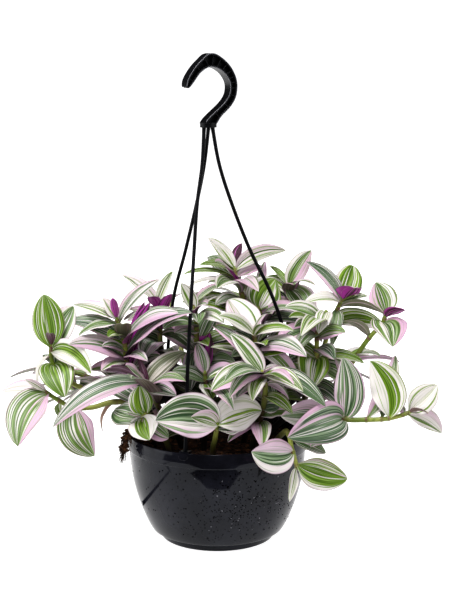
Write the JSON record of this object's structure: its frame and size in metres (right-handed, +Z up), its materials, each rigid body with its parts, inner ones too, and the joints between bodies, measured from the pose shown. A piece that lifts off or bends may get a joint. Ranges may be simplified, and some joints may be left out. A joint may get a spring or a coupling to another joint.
{
  "type": "potted nanouk tradescantia",
  "caption": "Bushy trailing tradescantia with striped pink, white and green leaves, in a round black plastic hanging pot with a saucer, strands and a ribbed hook.",
  "frame": {"origin": "on the pot's axis, on the saucer's underside, where the pot stands", "axes": "+Z up along the pot's axis, +X to the right and -Y towards the viewer as pictured"},
  "size_m": [0.398, 0.3326, 0.4462],
  "materials": {
    "black_plastic": "gloss",
    "peat": "matte",
    "leaf": "satin"
  },
  "bodies": {
    "root": {"pot": "black_plastic", "saucer": "black_plastic", "strand_front": "black_plastic", "strand_right": "black_plastic", "strand_back": "black_plastic", "hook": "black_plastic", "soil": "peat", "stem_left_upper": "leaf", "stem_left_trailing": "leaf", "stem_left_back": "leaf", "stem_centre_left": "leaf", "stem_centre": "leaf", "stem_top": "leaf", "stem_centre_right": "leaf", "stem_right_inner": "leaf", "stem_right_top": "leaf", "stem_right_upper": "leaf", "stem_right_outer": "leaf", "stem_right_trailing": "leaf", "stem_right_middle": "leaf", "stem_front_right": "leaf", "stem_front": "leaf", "stem_front_left": "leaf", "stem_left_low": "leaf", "stem_centre_low": "leaf", "stem_over_rim": "leaf", "stem_back_01": "leaf", "stem_back_02": "leaf", "stem_back_03": "leaf", "stem_back_04": "leaf", "stem_back_05": "leaf", "stem_back_06": "leaf", "stem_back_07": "leaf"}
  },
  "joints": []
}
